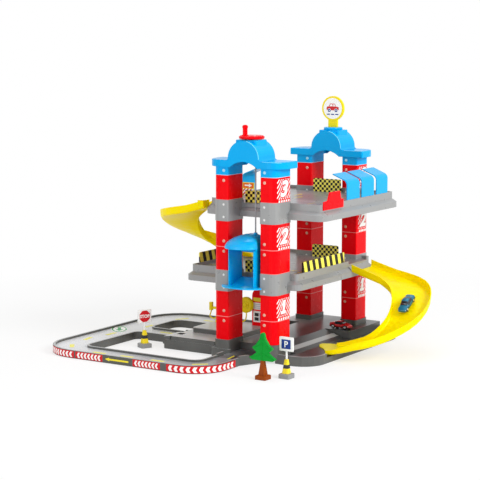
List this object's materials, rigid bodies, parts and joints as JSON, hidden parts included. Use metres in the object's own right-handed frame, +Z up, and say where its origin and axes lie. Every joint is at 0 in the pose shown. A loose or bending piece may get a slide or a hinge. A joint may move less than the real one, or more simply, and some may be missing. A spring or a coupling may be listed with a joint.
{
  "type": "toy parking garage",
  "caption": "Toy parking garage: decks on shell posts, a hand-cranked lift, curved yellow ramps, a road base, small cars, signs and a tree.",
  "frame": {"origin": "on the ground under the middle of the four posts, at the foot boss under the tower tile", "axes": "+X to the garage's right side, along its longest extent; +Y to its back; +Z up"},
  "size_m": [0.89, 0.719, 0.6525],
  "materials": {
    "base_grey": "moulded plastic, fine texture",
    "post_red": "glossy moulded plastic",
    "deck_grey": "moulded plastic, satin",
    "sky_blue": "glossy moulded plastic",
    "ramp_yellow": "glossy moulded plastic",
    "knob_red": "glossy moulded plastic",
    "cord_grey": "twisted cord",
    "board_yellow": "moulded plastic with printed stickers",
    "tree_green": "moulded plastic",
    "trunk_brown": "moulded plastic",
    "sign_white": "moulded plastic with printed stickers",
    "cone_black": "moulded plastic with yellow bands",
    "car_red": "gloss enamel",
    "car_blue": "gloss enamel",
    "wheel_black": "hard rubber-like plastic",
    "drum_white": "moulded plastic"
  },
  "bodies": {
    "garage": {"track_base": "base_grey", "tower_base": "base_grey", "post_front_left_level_1_lower": "post_red", "post_front_left_level_1_upper": "post_red", "post_front_left_level_2_lower": "post_red", "post_front_left_level_2_upper": "post_red", "post_front_left_level_3": "post_red", "post_front_right_level_1_lower": "post_red", "post_front_right_level_1_upper": "post_red", "post_front_right_level_2_lower": "post_red", "post_front_right_level_2_upper": "post_red", "post_front_right_level_3": "post_red", "post_rear_left_level_1_lower": "post_red", "post_rear_left_level_1_upper": "post_red", "post_rear_left_level_2_lower": "post_red", "post_rear_left_level_2_upper": "post_red", "post_rear_left_level_3": "post_red", "post_rear_right_level_1_lower": "post_red", "post_rear_right_level_1_upper": "post_red", "post_rear_right_level_2_lower": "post_red", "post_rear_right_level_2_upper": "post_red", "post_rear_right_level_3": "post_red", "deck_level_2": "deck_grey", "deck_level_3": "deck_grey", "front_arch": "sky_blue", "rear_arch": "sky_blue", "bay_canopy_front": "sky_blue", "bay_canopy_middle": "sky_blue", "bay_canopy_rear": "sky_blue", "bay_canopy_left": "sky_blue", "corner_closure": "knob_red", "service_kiosk": "knob_red", "upper_ramp": "ramp_yellow", "lower_ramp": "ramp_yellow", "checker_board_3_rear": "board_yellow", "checker_board_2_rear": "board_yellow", "striped_barrier_right": "board_yellow", "striped_barrier_left": "board_yellow", "round_sign": "board_yellow", "fuel_pump": "board_yellow", "fuel_hose_left": "board_yellow", "fuel_hose_right": "board_yellow"},
    "lift": {"lift_cabin": "sky_blue", "lift_cord": "cord_grey"},
    "crank": {"crank_knob": "knob_red", "winding_drum": "drum_white"},
    "gate_3": {"lift_gate_3": "board_yellow"},
    "gate_2": {"lift_gate_2": "board_yellow"},
    "tree": {"tree_foliage": "tree_green", "tree_trunk": "trunk_brown"},
    "parking_sign_stand": {"parking_sign": "sign_white", "parking_sign_cone": "cone_black"},
    "stop_sign_stand": {"stop_sign": "sign_white", "stop_sign_cone": "cone_black"},
    "red_car": {"red_car_body": "car_red"},
    "red_car_rear_axle": {"red_car_rear_wheels": "wheel_black"},
    "red_car_front_axle": {"red_car_front_wheels": "wheel_black"},
    "blue_car": {"blue_car_body": "car_blue"},
    "blue_car_rear_axle": {"blue_car_rear_wheels": "wheel_black"},
    "blue_car_front_axle": {"blue_car_front_wheels": "wheel_black"}
  },
  "joints": [
    {"name": "lift_slide", "type": "slide", "parent": "garage", "child": "lift", "axis": [0, 0, 1], "range_m": [-0.17, 0.184], "deforming": ["lift_cord"]},
    {"name": "crank_turn", "type": "hinge", "parent": "garage", "child": "crank", "pos_m": [0, -0.207, 0.565], "axis": [0, 0, 1], "range_deg": [-815, 892]},
    {"name": "gate_3_drop", "type": "hinge", "parent": "garage", "child": "gate_3", "pos_m": [0, -0.16825, 0.39655], "axis": [-1, 0, 0], "range_deg": [0, 86]},
    {"name": "gate_2_drop", "type": "hinge", "parent": "garage", "child": "gate_2", "pos_m": [0, -0.16825, 0.21655], "axis": [-1, 0, 0], "range_deg": [0, 86]},
    {"name": "tree_lift_off", "type": "slide", "parent": "garage", "child": "tree", "axis": [0, 0, 1], "range_m": [0, 0.15]},
    {"name": "parking_sign_lift_off", "type": "slide", "parent": "garage", "child": "parking_sign_stand", "axis": [0, 0, 1], "range_m": [0, 0.15]},
    {"name": "stop_sign_lift_off", "type": "slide", "parent": "garage", "child": "stop_sign_stand", "axis": [0, 0, 1], "range_m": [0, 0.15]},
    {"name": "red_car_lift_off", "type": "slide", "parent": "garage", "child": "red_car", "axis": [0, 0, 1], "range_m": [0, 0.1]},
    {"name": "red_car_rear_axle_spin", "type": "hinge", "parent": "red_car", "child": "red_car_rear_axle", "pos_m": [0.06703, 0.10899, 0.0413], "axis": [0.0523, 0.9986, 0], "continuous": true},
    {"name": "red_car_front_axle_spin", "type": "hinge", "parent": "red_car", "child": "red_car_front_axle", "pos_m": [0.10447, 0.10703, 0.0413], "axis": [0.0523, 0.9986, 0], "continuous": true},
    {"name": "blue_car_lift_off", "type": "slide", "parent": "garage", "child": "blue_car", "axis": [-0.0441, -0.5289, 0.8475], "range_m": [0, 0.1]},
    {"name": "blue_car_rear_axle_spin", "type": "hinge", "parent": "blue_car", "child": "blue_car_rear_axle", "pos_m": [0.30922, 0.06994, 0.13995], "axis": [0.9989, -0.0359, 0.0296], "continuous": true},
    {"name": "blue_car_front_axle_spin", "type": "hinge", "parent": "blue_car", "child": "blue_car_front_axle", "pos_m": [0.30866, 0.03814, 0.12008], "axis": [0.9989, -0.0359, 0.0296], "continuous": true}
  ],
  "couplings": [
    {"joint": "crank_turn", "follows": "lift_slide", "rad_per_m": 83.333}
  ]
}
